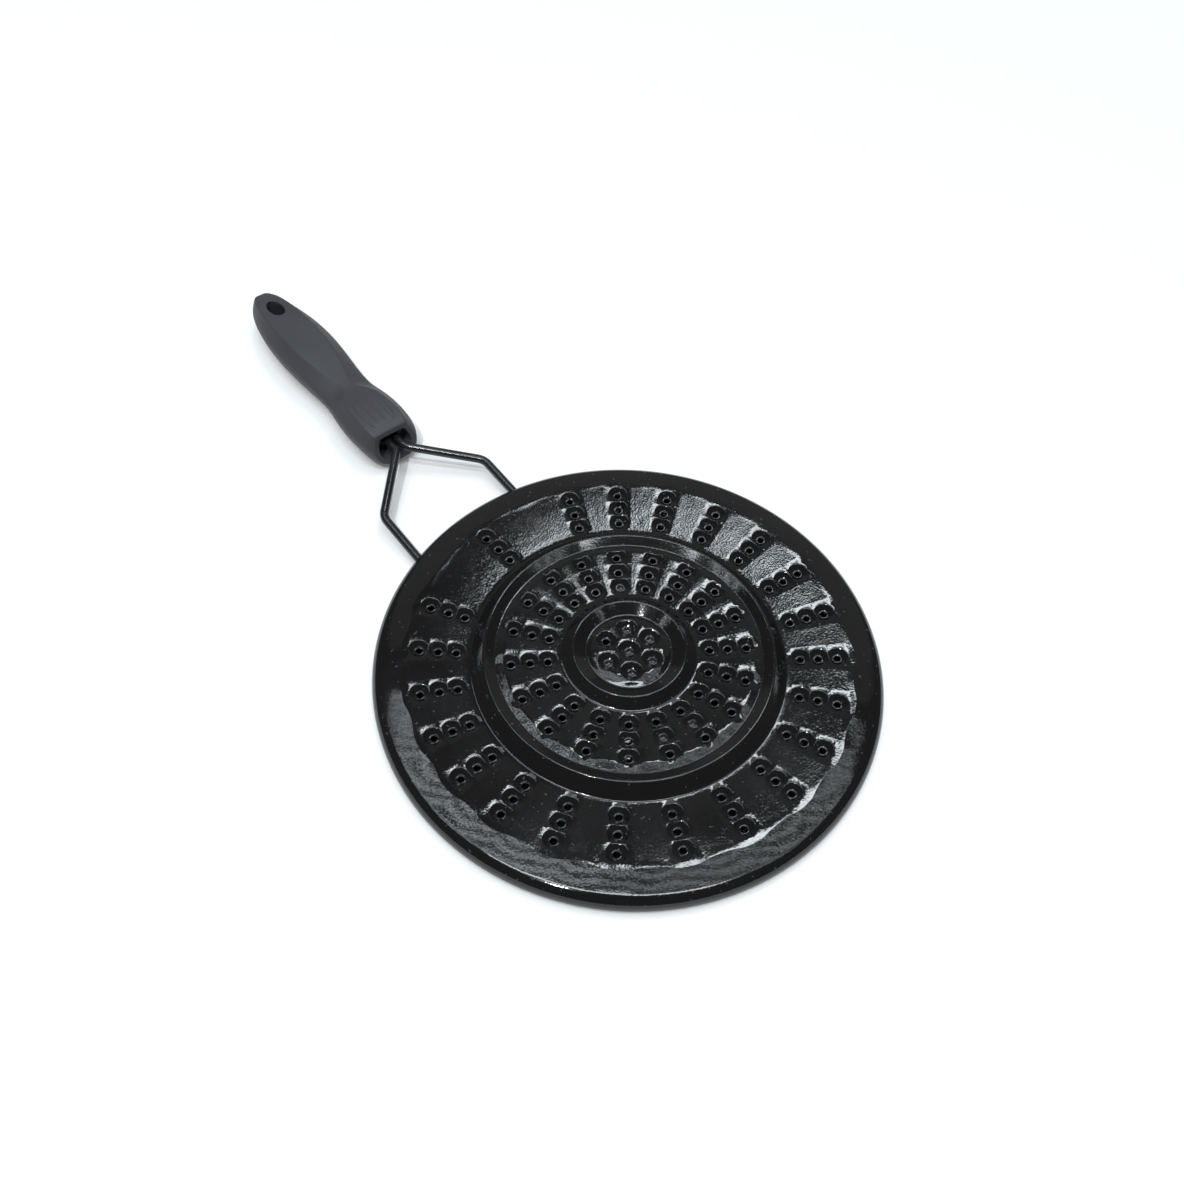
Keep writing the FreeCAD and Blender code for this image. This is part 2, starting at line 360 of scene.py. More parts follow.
class Finish:
    """A material under construction."""

    def __init__(self, name):
        self.material = bpy.data.materials.new(name)
        self.material.use_nodes = True
        self.tree = self.material.node_tree
        self.tree.nodes.clear()

    def add(self, kind, settings=None, sockets=None, output=0):
        """Add a node of a kind, with its settings set first and then its sockets' values or links."""
        node = self.tree.nodes.new(kind)
        for setting, value in (settings or {}).items():
            setattr(node, setting, value)
        for socket, value in (sockets or {}).items():
            if isinstance(value, Values):
                self.tree.links.new(value.socket, node.inputs[socket])
            else:
                node.inputs[socket].default_value = value
        return Values(self.tree, node.outputs[output]) if len(node.outputs) else None

    def noise(self, scale, detail=2.0, roughness=0.5):
        """Noise of so many waves a metre over the piece, from nought to one."""
        place = self.add("ShaderNodeTexCoord", output="Object")
        sockets = {"Vector": place, "Scale": scale, "Detail": detail, "Roughness": roughness}
        return self.add("ShaderNodeTexNoise", sockets=sockets)

    def ramp(self, value, low, high, first=0.0, last=1.0):
        """Value mapped from one range to another and kept inside it."""
        sockets = {"Value": value, "From Min": low, "From Max": high, "To Min": first, "To Max": last}
        return self.add("ShaderNodeMapRange", sockets=sockets)

    def mix(self, factor, first, second):
        """Mix of two colours."""
        node = self.tree.nodes.new("ShaderNodeMix")
        node.data_type = "RGBA"
        for place, value in ((0, factor), (6, first), (7, second)):
            if isinstance(value, Values):
                self.tree.links.new(value.socket, node.inputs[place])
            else:
                node.inputs[place].default_value = opaque(value) if place else value
        return Values(self.tree, node.outputs[2])

    def surface(self, sockets, heights=()):
        """Principled surface, with a bump from each height, its strength and its depth in millimetres."""
        normal = None
        for height, strength, depth in heights:
            bump = {"Height": height, "Strength": strength, "Distance": depth * MM}
            if normal:
                bump["Normal"] = normal
            normal = self.add("ShaderNodeBump", sockets=bump)
        if normal:
            sockets["Normal"] = normal
        shader = self.add("ShaderNodeBsdfPrincipled", sockets=sockets)
        self.add("ShaderNodeOutputMaterial", sockets={"Surface": shader})
        return self.material


def enamel_finish(colours):
    """Black vitreous enamel: glossy over a fine pebble, with a few pits."""
    finish = Finish("Black enamel")
    pebble = finish.noise(1300, detail=1.0, roughness=0.5)
    swell = finish.noise(140, detail=1.0)
    patches = finish.ramp(finish.noise(35, detail=3.0), 0.35, 0.7)
    pits = finish.ramp(finish.noise(700, detail=0.0), 0.78, 0.82)
    tone = finish.mix(patches, colours.enamel, [1.35 * part for part in colours.enamel])
    tone = finish.mix(pits, tone, colours.pits)
    gloss = colours.enamel_roughness
    roughness = finish.ramp(patches, 0.0, 1.0, gloss - 0.01, gloss + 0.03)
    sockets = {"Base Color": tone, "Roughness": roughness, "IOR": 1.52}
    return finish.surface(sockets, [(swell, 1.0, 0.03), (pebble, 1.0, 0.018)])


def wire_finish(colours):
    """Glossy black coating on the wire, with a slight grain."""
    finish = Finish("Coated wire")
    grain = finish.noise(700, detail=2.0)
    patches = finish.ramp(finish.noise(60, detail=2.0), 0.35, 0.7)
    tone = finish.mix(patches, colours.wire, [1.6 * part for part in colours.wire])
    roughness = finish.ramp(patches, 0.0, 1.0, 0.14, 0.24)
    sockets = {"Base Color": tone, "Roughness": roughness, "IOR": 1.5}
    return finish.surface(sockets, [(grain, 0.3, 0.08)])


def plastic_finish(colours):
    """Matte moulded thermoset: fine spark texture and slight clouding."""
    finish = Finish("Moulded plastic")
    spark = finish.noise(2600, detail=2.0, roughness=0.6)
    cloud = finish.ramp(finish.noise(40, detail=3.0), 0.3, 0.7)
    tone = finish.mix(cloud, colours.plastic, [1.12 * part for part in colours.plastic])
    roughness = finish.ramp(cloud, 0.0, 1.0, 0.52, 0.6)
    sockets = {"Base Color": tone, "Roughness": roughness, "IOR": 1.48}
    return finish.surface(sockets, [(spark, 0.4, 0.06)])


def finish_piece(name, bm, material, slot, *nodes):
    """Make a smooth shaded piece of a finished mesh. It rides on the root and stands for its nodes."""
    mesh = bpy.data.meshes.new(name)
    bm.to_mesh(mesh)
    bm.free()
    for polygon in mesh.polygons:
        polygon.use_smooth = True
    mesh.materials.append(material)
    piece = bpy.data.objects.new(name, mesh)
    bpy.context.scene.collection.objects.link(piece)
    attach(piece, "root")
    if nodes:
        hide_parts(*nodes)
    return piece


def rounded(corners, bends, turn_step=math.radians(12)):
    """Points along straight runs through the corners, with an arc of short steps at each bend."""
    path = [corners[0]]
    for before, corner, after, bend in zip(corners, corners[1:], corners[2:], bends[1:]):
        back = (before - corner).normalized()
        ahead = (after - corner).normalized()
        half = back.angle(ahead) / 2
        reach = bend / math.tan(half)
        centre = corner + (back + ahead).normalized() * (bend / math.sin(half))
        first = corner + back * reach - centre
        last = corner + ahead * reach - centre
        steps = max(1, math.ceil((math.pi - 2 * half) / turn_step))
        path += [centre + first.slerp(last, step / steps) * bend for step in range(steps + 1)]
    path.append(corners[-1])
    return path


def section_path(depth):
    """The plate's section at a depth inside the sheet, as points (radius, 0, height)."""
    corners = [Vector((radius * MM, 0, height * MM)) for radius, height, _ in SECTION]
    bends = [bend * MM for _, _, bend in SECTION]
    runs = [(after - before).normalized() for before, after in zip(corners, corners[1:])]
    inward = [Vector((run.z, 0, -run.x)) for run in runs]
    moved = [corners[0] + inward[0] * depth]
    moved_bends = [0.0]
    for corner, bend, first, last, run in zip(corners[1:], bends[1:], inward, inward[1:], runs[1:]):
        moved.append(corner + (first + last) * (depth / (1 + first.dot(last))))
        towards_sheet = first.dot(run) > 0
        moved_bends.append(max(LEAST_BEND * MM, bend - depth) if towards_sheet else bend + depth)
    moved.append(corners[-1] + inward[-1] * depth)
    return rounded(moved, moved_bends + [0.0])


def height_at(path, radius):
    """Height of the section at a radius inside the rim."""
    rim = next(index for index, point in enumerate(path) if point.x > RELIEF_LIMIT * MM)
    place = min(max(bisect_right(path, radius, hi=rim, key=lambda point: point.x), 1), rim - 1)
    low, high = path[place - 1], path[place]
    part = (radius - low.x) / (high.x - low.x)
    return low.z + (high.z - low.z) * part


def polar(radius, degrees, height=0.0):
    """Point at a radius and an angle about the plate's axis."""
    angle = math.radians(degrees)
    return Vector((radius * math.cos(angle), radius * math.sin(angle), height))


def drifted(degrees, drift):
    """Angle of a row after its drift from the even pitch."""
    mean, waves = drift
    return degrees + mean + sum(
        reach * math.cos(math.radians(periods * degrees - phase)) for periods, reach, phase in waves
    )


def row_angles(count, phase, drift, left_out=()):
    """Angles of the radial rows that are there, in turning order."""
    pitch = 360 / count
    return [drifted(phase + index * pitch, drift) for index in range(count) if index not in left_out]


def patch(bm, along, across, place):
    """Grid of so many faces each way, over a unit square that place() maps onto the object."""
    for vert in bmesh.ops.create_grid(bm, x_segments=along, y_segments=across, size=0.5)["verts"]:
        vert.co = place(vert.co.x + 0.5, vert.co.y + 0.5)


def cell(bm, place):
    """One face with evenly cut edges, over a unit square that place() maps onto the plate."""
    corners = bmesh.ops.create_grid(bm, x_segments=1, y_segments=1, size=0.5)["verts"]
    face = corners[0].link_faces[0]
    bmesh.ops.subdivide_edges(bm, edges=face.edges[:], cuts=CELL_CUTS)
    for vert in face.verts:
        vert.co = place(vert.co.x + 0.5, vert.co.y + 0.5)
    return face


def ring_radii(sizes, radius, hidden):
    """Radii of a dimple's rings down its bowl and over its lip. The hidden side has its hole alone."""
    if hidden:
        return [sizes.hole_radius]
    bowl_run = radius - sizes.lip_radius
    lip_run = sizes.lip_radius - sizes.hole_radius
    bowl = [sizes.lip_radius + bowl_run * part for part in BOWL_RINGS]
    return bowl + [sizes.hole_radius + lip_run * part for part in LIP_RINGS]


def sink(bm, face, centre, radii):
    """Rings of faces round a hole's middle, from its cell's edge to the face that fills the hole."""
    for radius in radii:
        bmesh.ops.inset_individual(bm, faces=[face], thickness=0.0, use_even_offset=False)
        for vert in face.verts:
            spoke = vert.co - centre
            vert.co = centre + spoke.normalized() * min(radius, CELL_SHARE * spoke.length)


def row_band(bm, dimples, angles, half_angle, row, borders, gap_step):
    """Band of the plate with its radial rows: a wedge of cells for each row, and plain sheet between."""
    cells = len(row)

    def radius_at(part):
        index = min(int(part), cells - 1)
        return (borders[index] + (borders[index + 1] - borders[index]) * (part - index)) * MM

    for degrees, following in zip(angles, angles[1:] + [angles[0] + 360]):
        for index, radius in enumerate(row):
            def in_wedge(along, across):
                return polar(radius_at(index + along), degrees + half_angle * (2 * across - 1))
            dimples.append((cell(bm, in_wedge), polar(radius * MM, degrees), False))
        first = degrees + half_angle
        gap = following - half_angle - first

        def between(along, across):
            return polar(radius_at(along * cells), first + gap * across)
        patch(bm, cells * (CELL_CUTS + 1), max(1, round(gap / gap_step)), between)


def centre_field(bm, dimples):
    """Middle of the plate: a hexagon round the middle hole and a cell for each of the six about it."""
    apothem = CENTRE_HEXAGON * MM * math.cos(math.radians(30))
    turn = Matrix.Rotation(math.radians(OPEN_CENTRE_DEGREES), 4, "Z")
    made = bmesh.ops.create_circle(
        bm, cap_ends=True, segments=6, radius=CENTRE_HEXAGON * MM, matrix=turn
    )
    face = made["verts"][0].link_faces[0]
    bmesh.ops.subdivide_edges(bm, edges=face.edges[:], cuts=CELL_CUTS)
    dimples.append((face, Vector(), True))
    for index in range(6):
        degrees = OPEN_CENTRE_DEGREES + 60 * index
        turn = Matrix.Rotation(math.radians(degrees), 3, "Z")

        def in_sixth(along, across):
            side = 2 * across - 1
            inner = turn @ Vector((apothem, apothem * math.tan(math.radians(30)) * side, 0))
            return inner.lerp(polar(CENTRE_BORDER * MM, degrees + 30 * side), along)
        dimples.append((cell(bm, in_sixth), polar(CENTRE_CIRCLE * MM, degrees), True))


def edges_among(parts, verts):
    """Edges in some parts of a mesh that join two of the given vertices."""
    return [part for part in parts if isinstance(part, bmesh.types.BMEdge) and verts.issuperset(part.verts)]


def verts_among(parts):
    """Vertices in some parts of a mesh."""
    return {part for part in parts if isinstance(part, bmesh.types.BMVert)}


def border(bm, radius):
    """Open edges on a circle about the plate's axis."""
    return [
        edge for edge in bm.edges
        if edge.is_boundary and all(abs(vert.co.xy.length - radius) < SAME_POINT for vert in edge.verts)
    ]


def grow(bm, loop, points):
    """Rings of faces from an open loop through points of the section. Gives the last open loop."""
    for point in points:
        grown = bmesh.ops.extrude_edge_only(bm, edges=loop)["geom"]
        verts = verts_among(grown)
        for vert in verts:
            flat = vert.co.xy.normalized() * point.x
            vert.co = (flat.x, flat.y, point.z)
        loop = edges_among(grown, verts)
    return loop


def flat_rings(path, inner, outer):
    """Points of the section's top side between two radii in millimetres, laid flat."""
    top = [point for point in path if point.z > TOP_SIDE * MM]
    return [Vector((point.x, 0, 0)) for point in top if inner * MM < point.x < outer * MM]


def join_at(bm, path, radius, outer_start, inner_start):
    """Grow two bands towards a valley and join them at its bottom, where their counts may differ."""
    outer = radius + BRIDGE_HALF_GAP
    inner = radius - BRIDGE_HALF_GAP
    inward = flat_rings(path, outer, outer_start)[::-1] + [Vector((outer * MM, 0, 0))]
    outward = flat_rings(path, inner_start, inner) + [Vector((inner * MM, 0, 0))]
    edges = grow(bm, border(bm, outer_start * MM), inward)
    edges += grow(bm, border(bm, inner_start * MM), outward)
    bmesh.ops.bridge_loops(bm, edges=edges)


def bowl_depth(sizes, distance, middle):
    """Depth of a dimple at a distance from its hole: an even slope, rounded at both ends."""
    radius = sizes.centre_radius if middle else sizes.dimple_radius
    depth = sizes.centre_depth if middle else sizes.dimple_depth
    part = min(max((distance - sizes.lip_radius) / (radius - sizes.lip_radius), 0.0), 1.0)
    whole = 1 - DIMPLE_FOOT / 2 - DIMPLE_BROW / 2
    if part < DIMPLE_FOOT:
        return depth * (1 - part ** 2 / (2 * DIMPLE_FOOT * whole))
    if part > 1 - DIMPLE_BROW:
        return depth * (1 - part) ** 2 / (2 * DIMPLE_BROW * whole)
    return depth * (1 - (part - DIMPLE_FOOT / 2) / whole)


def lip_height(sizes, distance):
    """Rise of the rounded lip over the bowl, and its fall to the hole's edge."""
    part = (sizes.lip_radius - distance) / (sizes.lip_radius - sizes.hole_radius)
    if part <= 0:
        return 0.0
    return sizes.lip_rise * (math.sin(math.pi * min(part, 1)) ** LIP_FULLNESS - LIP_FALL * part ** 3)


def raise_relief(bm, sizes, path, wall_path, dimples, hidden, walls):
    """Lift the flat skin to its section, sink its dimples and pull its outer ridge out at the rows."""
    tree = KDTree(len(dimples))
    for index, (_, centre, _) in enumerate(dimples):
        tree.insert(centre, index)
    tree.balance()
    ridge = OUTER_RIDGE * MM
    row_end = (OUTER_RIDGE - OUTER_ROW[-1]) * MM
    for vert in bm.verts:
        radius = vert.co.xy.length
        _, index, distance = tree.find(vert.co)
        in_wall = vert in walls
        height = height_at(wall_path if in_wall else path, radius)
        height -= bowl_depth(sizes, distance, dimples[index][2])
        if not hidden and not in_wall:
            height += lip_height(sizes, distance)
        if abs(radius - ridge) < RIDGE_BAND * MM:
            nearness = math.exp(-(((distance - row_end) / (RIDGE_BELL * MM)) ** 2))
            vert.co.xy *= (radius + sizes.ridge_pull * (nearness - RIDGE_DRAWN_IN)) / radius
        vert.co.z = height


def plate_skin(sizes, hidden):
    """Outer or hidden side of the plate's sheet. Gives its mesh and the middles of its holes."""
    bm = bmesh.new()
    wall_path = section_path(sizes.sheet)
    path = wall_path if hidden else section_path(0)
    dimples = []
    centre_field(bm, dimples)
    inner = row_angles(INNER_COUNT, INNER_PHASE, INNER_DRIFT)
    outer = row_angles(OUTER_COUNT, OUTER_PHASE, OUTER_DRIFT, ROWS_OVER_WIRE)
    row_band(bm, dimples, inner, INNER_HALF_ANGLE, INNER_ROW, INNER_CELLS, INNER_GAP_STEP)
    row_band(bm, dimples, outer, OUTER_HALF_ANGLE, OUTER_ROW, OUTER_CELLS, OUTER_GAP_STEP)
    for face, centre, middle in dimples:
        radius = sizes.centre_radius if middle else sizes.dimple_radius
        sink(bm, face, centre, ring_radii(sizes, radius, hidden))
    holes = [face for face, _, _ in dimples]
    walls = set()
    if not hidden:
        bmesh.ops.inset_individual(bm, faces=holes, thickness=0.0, use_even_offset=False)
        walls.update(vert for face in holes for vert in face.verts)
    edge_verts = [vert for vert in bm.verts if vert.is_boundary]
    bmesh.ops.remove_doubles(bm, verts=edge_verts, dist=SAME_POINT)
    join_at(bm, path, SMALL_VALLEY, INNER_CELLS[0], CENTRE_BORDER)
    join_at(bm, path, BIG_VALLEY, OUTER_CELLS[0], INNER_CELLS[-1])
    ridge_rings = flat_rings(path, OUTER_CELLS[-1], RELIEF_LIMIT)
    rim = grow(bm, border(bm, OUTER_CELLS[-1] * MM), ridge_rings)
    raise_relief(bm, sizes, path, wall_path, dimples, hidden, walls)
    start = next(index for index, point in enumerate(path) if point.x > RELIEF_LIMIT * MM)
    ends = [] if hidden else [wall_path[-1]]
    grow(bm, rim, path[start:] + ends)
    bmesh.ops.delete(bm, geom=holes, context="FACES_ONLY")
    return bm, [(centre, middle) for _, centre, middle in dimples]


def join_meshes(bm, other):
    """Add another mesh to this one."""
    mesh = bpy.data.meshes.new("joined")
    other.to_mesh(mesh)
    other.free()
    bm.from_mesh(mesh)
    bpy.data.meshes.remove(mesh)


def is_bridged(centre, middle):
    """Whether a film of enamel closes this hole."""
    if middle:
        opening = polar(CENTRE_CIRCLE * MM, OPEN_CENTRE_DEGREES)
        return (centre - opening).length > SAME_HOLE * MM
    bridged = [Vector((x, y, 0)) * MM for x, y in BRIDGED_HOLES]
    return any((centre - place).length < SAME_HOLE * MM for place in bridged)


def film_discs(sizes, holes):
    """Slightly domed film of enamel in each bridged hole, a little below its lip."""
    path = section_path(0)
    bm = bmesh.new()
    for centre, middle in holes:
        if not is_bridged(centre, middle):
            continue
        height = height_at(path, centre.xy.length) - bowl_depth(sizes, 0, middle)
        spot = Matrix.Translation((centre.x, centre.y, height))
        radius = FILM_OVERLAP * sizes.hole_radius
        made = bmesh.ops.create_circle(bm, cap_ends=True, segments=FILM_SIDES, radius=radius, matrix=spot)
        face = made["verts"][0].link_faces[0]
        for part, rise in FILM_DOME:
            bmesh.ops.inset_individual(bm, faces=[face], thickness=0.0, use_even_offset=False)
            for vert in face.verts:
                flat = (vert.co - spot.translation).normalized() * (part * sizes.hole_radius)
                vert.co = spot.translation + flat + Vector((0, 0, rise * MM))
    return bm


def fork_frame():
    """The fork's frame on the plate."""
    turn = Matrix.Rotation(math.radians(FORK_SKEW), 4, "Z")
    return Matrix.Translation((FORK_PIVOT * MM, 0, 0)) @ turn


def handle_frame():
    """The handle's frame on the fork: along from its front face."""
    turn = Matrix.Translation((NECK * MM, 0, 0)) @ Matrix.Rotation(math.radians(HANDLE_SKEW), 4, "Z")
    return fork_frame() @ turn @ Matrix.Translation(((HANDLE_FRONT - NECK) * MM, 0, 0))


def fork_wire(sizes):
    """One bent wire: a curve through the fork's rounded corners, made a mesh with closed ends."""
    left = [Vector((along * MM, across * MM, height * MM)) for along, across, height, _ in FORK_CORNERS]
    bends = [bend * MM for _, _, _, bend in FORK_CORNERS]
    right = [Vector((corner.x, -corner.y, corner.z)) for corner in left[::-1]]
    points = rounded(right + left, bends[::-1] + bends, math.radians(WIRE_TURN_STEP))
    line = bpy.data.curves.new("fork_line", "CURVE")
    line.dimensions = "3D"
    line.bevel_depth = sizes.wire_radius
    line.bevel_resolution = WIRE_RESOLUTION
    line.use_fill_caps = True
    spline = line.splines.new("POLY")
    spline.points.add(len(points) - 1)
    for point, place in zip(spline.points, points):
        point.co = (*place, 1)
    drawn = bpy.data.objects.new("fork_line", line)
    mesh = bpy.data.meshes.new_from_object(drawn)
    bm = bmesh.new()
    bm.from_mesh(mesh)
    bpy.data.objects.remove(drawn)
    bpy.data.curves.remove(line)
    bpy.data.meshes.remove(mesh)
    bmesh.ops.remove_doubles(bm, verts=bm.verts[:], dist=0.1 * SAME_POINT)
    bmesh.ops.recalc_face_normals(bm, faces=bm.faces[:])
    bmesh.ops.transform(bm, matrix=fork_frame(), verts=bm.verts[:])
    return bm


def station_ring(station):
    """Closed section of the handle at a station, from the middle of its top round by the left."""
    along, half_width, panel, top, widest, bottom = station
    left = [
        (SHOULDER_SHARE * panel, top + SHOULDER_RISE),
        (panel, top),
        (half_width, widest),
        (half_width - WALL_TUCK, bottom + WALL_FOOT),
        (BELLY_SHARE * half_width, bottom),
    ]
    right = [(-across, height) for across, height in left[::-1]]
    lean = FRONT_LEAN * max(0.0, 1 - along / LEAN_REACH)
    return [
        Vector((along + lean * (height - LEAN_LEVEL), across, height)) * MM
        for across, height in [(0, top + CROWN_RISE), *left, (0, bottom), *right]
    ]


def sharpen(edges, crease, value):
    """Keep some edges this sharp when the handle is smoothed."""
    for edge in edges:
        edge[crease] = value


def handle_body(sizes):
    """Cage of the handle: a section pushed along its stations, with its mouth and its hanging hole."""
    bm = bmesh.new()
    crease = bm.edges.layers.float.new("crease_edge")
    first_ring = station_ring(HANDLE_STATIONS[0])
    made = bmesh.ops.create_circle(bm, cap_ends=True, segments=len(first_ring), radius=MM)
    order = sorted(made["verts"], key=lambda vert: math.atan2(vert.co.y, vert.co.x) % math.tau)
    for vert, place in zip(order, first_ring):
        vert.co = place
    front = order[0].link_faces[0]
    loop = front.edges[:]
    rings = [order]
    for station in HANDLE_STATIONS[1:]:
        grown = bmesh.ops.extrude_edge_only(bm, edges=loop)["geom"]
        fresh = verts_among(grown)
        loop = edges_among(grown, fresh)
        ring = []
        for vert, place in zip(rings[-1], station_ring(station)):
            neighbours = [edge.other_vert(vert) for edge in vert.link_edges]
            follower = next(neighbour for neighbour in neighbours if neighbour in fresh)
            follower.co = place
            ring.append(follower)
        rings.append(ring)
    bmesh.ops.contextual_create(bm, geom=loop)
    for place, (ring, following) in enumerate(zip(rings, rings[1:])):
        fading = min(1.0, (len(rings) - 2 - place) / FADING_STATIONS)
        for index, value in SHARP_LINES.items():
            sharpen([bm.edges.get((ring[index], following[index]))], crease, value * fading)
    sharpen(front.edges, crease, FRONT_SHARPNESS)
    bmesh.ops.recalc_face_normals(bm, faces=bm.faces[:])
    mouth(bm, front, sizes, crease)
    hanging_hole(bm, rings, sizes, crease)
    bmesh.ops.recalc_face_normals(bm, faces=bm.faces[:])
    return bm


def mouth(bm, front, sizes, crease):
    """Pocket in the front face, round the two ends of the wire."""
    bmesh.ops.inset_individual(bm, faces=[front], thickness=sizes.mouth_wall, use_even_offset=True)
    sharpen(front.edges, crease, MOUTH_SHARPNESS)
    bmesh.ops.inset_individual(bm, faces=[front], thickness=MOUTH_TAPER * MM, use_even_offset=True)
    for vert in front.verts:
        vert.co.x += sizes.mouth_depth
    sharpen(front.edges, crease, MOUTH_FLOOR_SHARPNESS)


def hanging_hole(bm, rings, sizes, crease):
    """Oval hole through the butt, between the stations on either side of it."""
    middle = sizes.hole_along / MM
    near = [index for index, station in enumerate(HANDLE_STATIONS) if abs(station[0] - middle) < HOLE_REACH]
    loops = []
    for columns in HOLE_COLUMNS:
        faces = []
        for index in near[:-1]:
            for pair in zip(columns, columns[1:]):
                corners = {rings[index + step][column] for step in (0, 1) for column in pair}
                beside = rings[index][pair[0]].link_faces
                faces.append(next(face for face in beside if corners.issubset(face.verts)))
        bmesh.ops.inset_region(bm, faces=faces, thickness=HOLE_RIM * MM, use_even_offset=True)
        edges = [edge for face in faces for edge in face.edges]
        rim = [edge for edge in edges if len(set(faces).intersection(edge.link_faces)) == 1]
        for vert in {vert for edge in rim for vert in edge.verts}:
            along = round((vert.co.x - sizes.hole_along) / (HOLE_CELL[0] * MM))
            angle = math.atan2(round(vert.co.y / (HOLE_CELL[1] * MM)), along)
            vert.co.x = sizes.hole_along + HOLE_SWELL * sizes.hole_length / 2 * math.cos(angle)
            vert.co.y = HOLE_SWELL * sizes.hole_width / 2 * math.sin(angle)
        bmesh.ops.delete(bm, geom=faces, context="FACES")
        sharpen(rim, crease, HOLE_SHARPNESS)
        loops += rim
    bmesh.ops.bridge_loops(bm, edges=loops)


def thumb_pad(sizes, handle):
    """Raised pad with fine ribs along it, laid on the handle's finished surface."""
    surface = BVHTree.FromObject(handle, bpy.context.evaluated_depsgraph_get())
    turn = handle_frame()
    down = Vector((0, 0, -1))
    bm = bmesh.new()

    def on_handle(along, across):
        side, end = 2 * across - 1, 2 * along - 1
        pull = (1 - 0.5 * abs(side * end) ** PAD_CORNER) ** 0.5
        pad_along = sizes.pad_start + sizes.pad_length * (1 + end * pull) / 2
        above = turn @ Vector((pad_along, sizes.pad_width / 2 * side * pull, OVER_HANDLE * MM))
        border_part = (1 - max(abs(side), abs(end))) / PAD_BORDER
        rise = sizes.pad_rise * min(1.0, border_part) ** 0.5 - PAD_SINK * MM
        if abs(side) < RIB_SPREAD:
            wave = max(0.0, math.cos(math.pi * RIB_COUNT * side / RIB_SPREAD)) ** 2
            rise += sizes.rib_rise * wave * min(1.0, max(0.0, (RIB_END - abs(end)) / RIB_FADE))
        return surface.ray_cast(above, down)[0] + Vector((0, 0, rise))
    patch(bm, *PAD_FACES, on_handle)
    bmesh.ops.recalc_face_normals(bm, faces=bm.faces[:])
    if bm.faces[0].normal.z < 0:
        bmesh.ops.reverse_faces(bm, faces=bm.faces[:])
    return bm


def soften(piece, levels):
    """Subdivision surface on a piece, the same in views and renders."""
    smooth = piece.modifiers.new("Smooth", "SUBSURF")
    smooth.levels = levels
    smooth.render_levels = levels


def camera_at(place, turn, lens):
    """Camera at a place, turned by degrees about X, Y and Z."""
    data = bpy.data.cameras.new("camera")
    data.lens = lens
    data.sensor_width = 36
    data.clip_start = 0.01
    view = bpy.data.objects.new("camera", data)
    view.location = place
    view.rotation_euler = Euler([math.radians(angle) for angle in turn], "XYZ")
    bpy.context.scene.collection.objects.link(view)
    bpy.context.scene.camera = view


def area_light(name, matrix, size, radiance, tint):
    """Rectangular light, with its power set by how bright its face looks."""
    data = bpy.data.lights.new(name, "AREA")
    data.shape = "RECTANGLE"
    data.size, data.size_y = size
    data.energy = radiance * math.pi * size[0] * size[1]
    data.color = tint
    light = bpy.data.objects.new(name, data)
    light.matrix_world = matrix
    bpy.context.scene.collection.objects.link(light)


def facing_lamp(name, distance, degrees, height, size, radiance):
    """Lamp that faces the middle of the plate."""
    place = polar(distance, degrees, height)
    turn = (-place).to_track_quat("-Z", "Y").to_matrix().to_4x4()
    area_light(name, Matrix.Translation(place) @ turn, size, radiance, (1.0, 1.0, 1.0))


def ceiling_lamp(name, height, along, across, radiance):
    """Lamp that faces straight down, over stretches along and across the camera's line of sight."""
    middle = polar(sum(along) / 2, AWAY_DEGREES) + polar(sum(across) / 2, AWAY_DEGREES + 90)
    turn = Matrix.Rotation(math.radians(AWAY_DEGREES), 4, "Z")
    size = (along[1] - along[0], across[1] - across[0])
    matrix = Matrix.Translation((middle.x, middle.y, height)) @ turn
    area_light(name, matrix, size, radiance, CEILING_TINT)


def ceiling_tubes():
    """Rows of tubes across the ceiling, which the enamel mirrors as grain."""
    for index in range(TUBE_COUNT):
        start = TUBE_PITCH * index + TUBE_START
        along = (start, start + TUBE_WIDTH)
        right_end, left_start = NEAR_SPLIT if start < FAR_ZONE else FAR_SPLIT
        ceiling_lamp(f"right_tube_{index}", CEILING, along, (-TUBE_END, right_end), RIGHT_TUBES)
        ceiling_lamp(f"left_tube_{index}", CEILING, along, (left_start, TUBE_END), LEFT_TUBES)


def floor_finish(colours):
    """Pale matte floor that looks white to the camera and in reflections, and keeps the shadow."""
    finish = Finish("Pale floor")
    seen = finish.add("ShaderNodeLightPath", output="Is Camera Ray")
    for ray in ("Is Glossy Ray", "Is Transmission Ray"):
        seen = seen + finish.add("ShaderNodeLightPath", output=ray)
    matte = finish.add("ShaderNodeBsdfDiffuse", sockets={"Color": opaque(colours.floor)})
    white = finish.add("ShaderNodeEmission", sockets={"Color": (1, 1, 1, 1), "Strength": 1.0})
    mixed = finish.add("ShaderNodeMixShader", sockets={0: seen * FLOOR_GLOW, 1: matte, 2: white})
    finish.add("ShaderNodeOutputMaterial", sockets={"Surface": mixed})
    return finish.material


